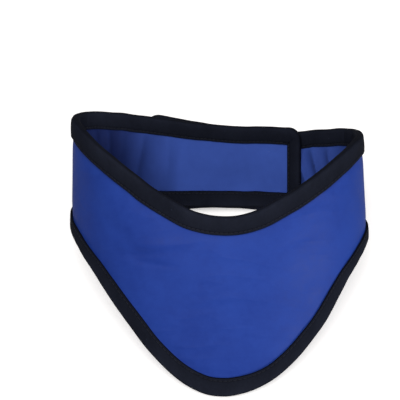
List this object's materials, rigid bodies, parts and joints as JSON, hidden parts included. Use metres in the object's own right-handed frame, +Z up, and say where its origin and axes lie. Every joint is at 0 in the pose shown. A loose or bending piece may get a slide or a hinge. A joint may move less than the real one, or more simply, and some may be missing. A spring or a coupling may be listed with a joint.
{
  "type": "thyroid shield collar",
  "caption": "Lead-lined thyroid shield collar, closed in a loop: deep rounded blue bib in front, low band at the back, black tape on every edge, standing by itself.",
  "frame": {"origin": "centre of the bounding box's footprint, on the surface that the collar stands on", "axes": "+X from the wearer's right side to the left, -Y towards the front of the bib, +Z up from the surface"},
  "size_m": [0.1996, 0.1926, 0.1037],
  "materials": {
    "blue_cover": "smooth coated nylon with a soft sheen",
    "blue_lining": "matte woven nylon",
    "black_tape": "matte woven bias tape",
    "black_pad": "matte pile and hooks"
  },
  "bodies": {
    "root": {"shield_cover": "blue_cover", "inner_lining": "blue_lining", "binding_neckline": "black_tape", "binding_bib": "black_tape", "binding_end_inner": "black_tape", "binding_end_outer": "black_tape", "loop_patch": "black_pad", "hook_patch": "black_pad"}
  },
  "joints": []
}
